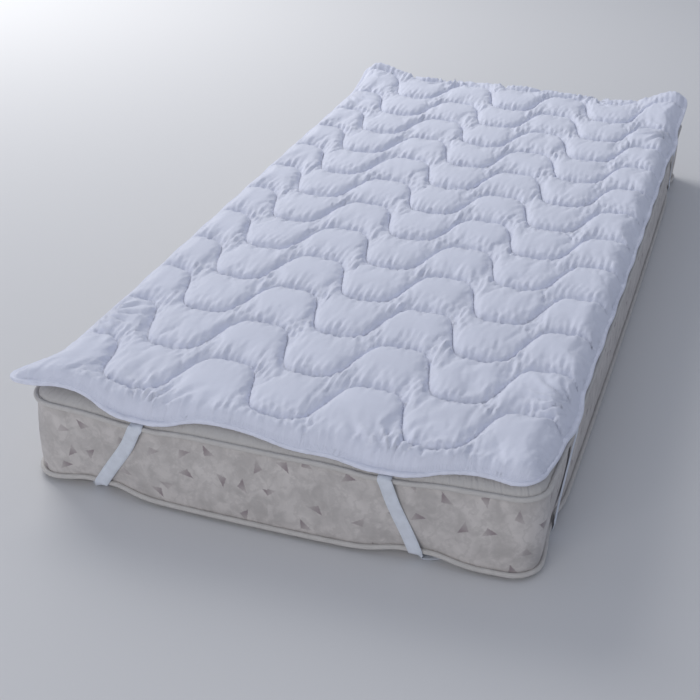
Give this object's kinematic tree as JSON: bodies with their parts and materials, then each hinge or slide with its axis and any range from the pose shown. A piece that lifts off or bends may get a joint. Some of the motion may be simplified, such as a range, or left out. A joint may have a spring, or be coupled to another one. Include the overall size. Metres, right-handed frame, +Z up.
{
  "type": "quilted mattress pad on a mattress",
  "caption": "Filled quilted mattress pad with wavy sewn channels and a bound edge, held on a plain single mattress by elastic corner bands.",
  "frame": {"origin": "middle of the mattress's flat underside, which stands on the bed base or floor", "axes": "+X across the mattress, +Y from its foot end to its head end, +Z up"},
  "size_m": [0.9592, 2.0149, 0.2404],
  "materials": {
    "cover": "matt white brushed microfibre, softly puffed over its filling",
    "binding": "white folded tape with a row of stitches",
    "elastic": "white ribbed woven elastic",
    "ticking": "grey mottled woven ticking with small scattered triangles",
    "piping": "cream woven cord sewn into the mattress's seams"
  },
  "bodies": {
    "root": {"quilted_pad": "cover", "edge_binding": "binding", "elastic_band_foot_left": "elastic", "elastic_band_foot_right": "elastic", "elastic_band_head_left": "elastic", "elastic_band_head_right": "elastic", "mattress": "ticking", "top_piping": "piping", "bottom_piping": "piping"}
  },
  "joints": []
}
